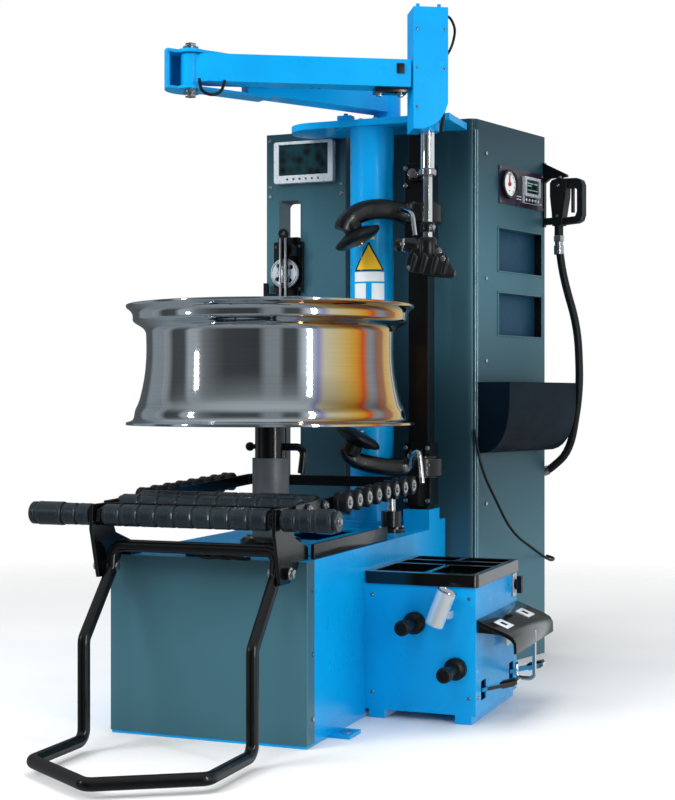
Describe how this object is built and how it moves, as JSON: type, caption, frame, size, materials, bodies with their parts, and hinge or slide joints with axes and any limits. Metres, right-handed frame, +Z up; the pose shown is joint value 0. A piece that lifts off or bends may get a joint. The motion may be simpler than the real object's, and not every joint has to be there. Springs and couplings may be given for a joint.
{
  "type": "tire changer machine",
  "caption": "Free-standing tire changer with articulated tool arm, turntable carrying a bare wheel, roller table, bead discs on a rail, side cabinet with gauge, and pedal box.",
  "frame": {"origin": "on the floor under the turntable axis, at the underside of the bottom pan", "axes": "+X right as the operator faces it, +Y to the back, +Z up"},
  "size_m": [0.986, 1.951, 1.775],
  "materials": {
    "blue_paint": "gloss blue powder coat",
    "grey_panel": "satin metallic grey",
    "black_paint": "gloss black enamel",
    "black_plastic": "satin",
    "gloss_black": "gloss",
    "roller_steel": "blackened steel",
    "chrome": "polished",
    "polished_rim": "polished",
    "zinc_steel": "zinc plated",
    "silver_plastic": "satin silver",
    "screen_glass": "glossy dark",
    "panel_print": "dark printed sheet",
    "gauge_metal": "polished",
    "hose_rubber": "matte",
    "cast_black": "painted casting",
    "needle_red": "satin",
    "cast_grey": "as cast"
  },
  "bodies": {
    "base": {"base_frame": "blue_paint", "front_cover": "grey_panel", "lift_brackets": "black_paint", "column": "blue_paint", "guide_rail": "black_paint", "top_plate": "blue_paint", "gearbox": "cast_grey", "drive_motor": "black_paint", "drive_belt": "hose_rubber", "lift_cylinder": "black_paint", "monitor_housing": "grey_panel", "monitor_bezel": "silver_plastic", "monitor_screen": "screen_glass", "tower_cabinet": "grey_panel", "storage_bin": "black_plastic", "gauge_panel": "panel_print", "pressure_gauge": "gauge_metal", "display_unit": "panel_print", "gun_holder": "black_paint", "inflation_gun": "black_plastic", "hoses": "hose_rubber", "control_box": "blue_paint", "tool_tray": "gloss_black", "cone_pegs": "black_plastic", "brush_cup": "chrome", "pedal_hood": "gloss_black", "panel_screws": "zinc_steel"},
    "spindle": {"spindle_post": "black_paint", "wheel_rim": "polished_rim"},
    "lock": {"lock_pin": "chrome"},
    "nut": {"clamp_nut": "zinc_steel"},
    "worm": {"worm_pulley": "zinc_steel"},
    "motor_wheel": {"motor_pulley": "zinc_steel"},
    "table": {"table_frame": "black_paint", "left_skate_wheels": "black_plastic", "right_skate_wheels": "black_plastic"},
    "jack": {"lift_rod": "zinc_steel"},
    "front_roller": {"roller_front": "roller_steel"},
    "second_roller": {"roller_second": "roller_steel"},
    "third_roller": {"roller_third": "roller_steel"},
    "loop": {"wheel_lift": "black_paint"},
    "upper_slide": {"upper_carriage": "black_paint"},
    "lower_slide": {"lower_carriage": "black_paint"},
    "upper_swing": {"upper_arm": "black_paint"},
    "lower_swing": {"lower_arm": "black_paint"},
    "upper_bead_disc": {"upper_disc": "black_plastic"},
    "lower_bead_disc": {"lower_disc": "black_plastic"},
    "inner": {"inner_link": "blue_paint", "elbow_pin": "zinc_steel"},
    "outer": {"outer_link": "blue_paint", "head_box": "blue_paint"},
    "shaft": {"tool_shaft": "chrome"},
    "tool": {"tool_head": "cast_black"},
    "needle": {"gauge_needle": "needle_red"},
    "switch": {"power_switch": "black_plastic"},
    "front_pedal": {"pedal_front": "black_plastic"},
    "rear_pedal": {"pedal_rear": "black_plastic"},
    "trigger": {"gun_trigger": "black_plastic"},
    "helper": {"helper_carriage": "zinc_steel"},
    "helper_disc": {"helper_wheel": "chrome"}
  },
  "joints": [
    {"name": "spindle_spin", "type": "hinge", "parent": "base", "child": "spindle", "pos_m": [0, 0, 0.7], "axis": [0, 0, 1], "continuous": true},
    {"name": "lock_turn", "type": "hinge", "parent": "spindle", "child": "lock", "pos_m": [0, 0, 0.637], "axis": [1, 0, 0], "range_deg": [-60, 60]},
    {"name": "nut_turn", "type": "hinge", "parent": "spindle", "child": "nut", "pos_m": [0, 0, 0.93], "axis": [0, 0, 1], "continuous": true},
    {"name": "worm_spin", "type": "hinge", "parent": "base", "child": "worm", "pos_m": [-0.14, 0.06, 0.275], "axis": [1, 0, 0], "continuous": true},
    {"name": "motor_spin", "type": "hinge", "parent": "base", "child": "motor_wheel", "pos_m": [-0.14, 0.26, 0.15], "axis": [1, 0, 0], "continuous": true},
    {"name": "table_tilt", "type": "hinge", "parent": "base", "child": "table", "pos_m": [0, -0.447, 0.499], "axis": [1, 0, 0], "range_deg": [-3, 0]},
    {"name": "lift_rod_travel", "type": "slide", "parent": "base", "child": "jack", "axis": [0, 0, 1], "range_m": [-0.046, 0]},
    {"name": "front_roller_spin", "type": "hinge", "parent": "base", "child": "front_roller", "pos_m": [0, -0.447, 0.499], "axis": [1, 0, 0], "continuous": true},
    {"name": "second_roller_spin", "type": "hinge", "parent": "table", "child": "second_roller", "pos_m": [0, -0.3, 0.51158], "axis": [1, 0, 0], "continuous": true},
    {"name": "third_roller_spin", "type": "hinge", "parent": "table", "child": "third_roller", "pos_m": [0, -0.205, 0.51456], "axis": [1, 0, 0], "continuous": true},
    {"name": "wheel_lift_swing", "type": "hinge", "parent": "base", "child": "loop", "pos_m": [0, -0.42, 0.384], "axis": [-1, 0, 0], "range_deg": [0, 80]},
    {"name": "upper_carriage_slide", "type": "slide", "parent": "base", "child": "upper_slide", "axis": [0, 0, 1], "range_m": [-0.14, 0.08]},
    {"name": "lower_carriage_slide", "type": "slide", "parent": "base", "child": "lower_slide", "axis": [0, 0, -1], "range_m": [-0.25, 0]},
    {"name": "upper_arm_swing", "type": "hinge", "parent": "upper_slide", "child": "upper_swing", "pos_m": [0.201, 0.56, 1.255], "axis": [0, 0, 1], "range_deg": [0, 10]},
    {"name": "lower_arm_swing", "type": "hinge", "parent": "lower_slide", "child": "lower_swing", "pos_m": [0.201, 0.56, 0.569], "axis": [0, 0, 1], "range_deg": [0, 25]},
    {"name": "upper_disc_spin", "type": "hinge", "parent": "upper_swing", "child": "upper_bead_disc", "pos_m": [0.06594, 0.42494, 1.183], "axis": [-0.4233, -0.1642, 0.891], "continuous": true},
    {"name": "lower_disc_spin", "type": "hinge", "parent": "lower_swing", "child": "lower_bead_disc", "pos_m": [0.06594, 0.42494, 0.65], "axis": [0.4233, 0.1642, 0.891], "continuous": true},
    {"name": "inner_link_swing", "type": "hinge", "parent": "base", "child": "inner", "pos_m": [0.088, 0.6, 1.57], "axis": [0, 0, 1], "range_deg": [-15, 8]},
    {"name": "outer_link_swing", "type": "hinge", "parent": "inner", "child": "outer", "pos_m": [-0.258, 0.083, 1.584], "axis": [0, 0, 1], "range_deg": [-70, 0]},
    {"name": "tool_shaft_slide", "type": "slide", "parent": "outer", "child": "shaft", "axis": [0, 0, 1], "range_m": [-0.075, 0.095]},
    {"name": "tool_head_turn", "type": "hinge", "parent": "shaft", "child": "tool", "pos_m": [0.276, 0.38, 1.15], "axis": [0, 0, 1], "range_deg": [-90, 90]},
    {"name": "gauge_needle_turn", "type": "hinge", "parent": "base", "child": "needle", "pos_m": [0.37472, 0.84197, 1.366], "axis": [-0.9583, 0.2857, 0], "range_deg": [0, 270]},
    {"name": "power_switch_turn", "type": "hinge", "parent": "base", "child": "switch", "pos_m": [0.52, 0.36, 0.286], "axis": [1, 0, 0], "range_deg": [0, 90]},
    {"name": "front_pedal_press", "type": "hinge", "parent": "base", "child": "front_pedal", "pos_m": [0.45, 0.08, 0.056], "axis": [0, 1, 0], "range_deg": [0, 10]},
    {"name": "rear_pedal_press", "type": "hinge", "parent": "base", "child": "rear_pedal", "pos_m": [0.45, 0.336, 0.056], "axis": [0, 1, 0], "range_deg": [0, 10]},
    {"name": "gun_trigger_pull", "type": "hinge", "parent": "base", "child": "trigger", "pos_m": [0.51887, 1.01395, 1.376], "axis": [0.2857, 0.9583, 0], "range_deg": [0, 10]},
    {"name": "helper_slide", "type": "slide", "parent": "base", "child": "helper", "axis": [0, 0, 1], "range_m": [-0.3, 0.06]},
    {"name": "helper_wheel_spin", "type": "hinge", "parent": "helper", "child": "helper_disc", "pos_m": [-0.2315, 0.625, 1.113], "axis": [0, 1, 0], "continuous": true}
  ],
  "couplings": [
    {"joint": "worm_spin", "follows": "spindle_spin", "ratio": 20},
    {"joint": "motor_spin", "follows": "spindle_spin", "ratio": 40},
    {"joint": "lift_rod_travel", "follows": "table_tilt", "m_per_rad": 0.86}
  ]
}
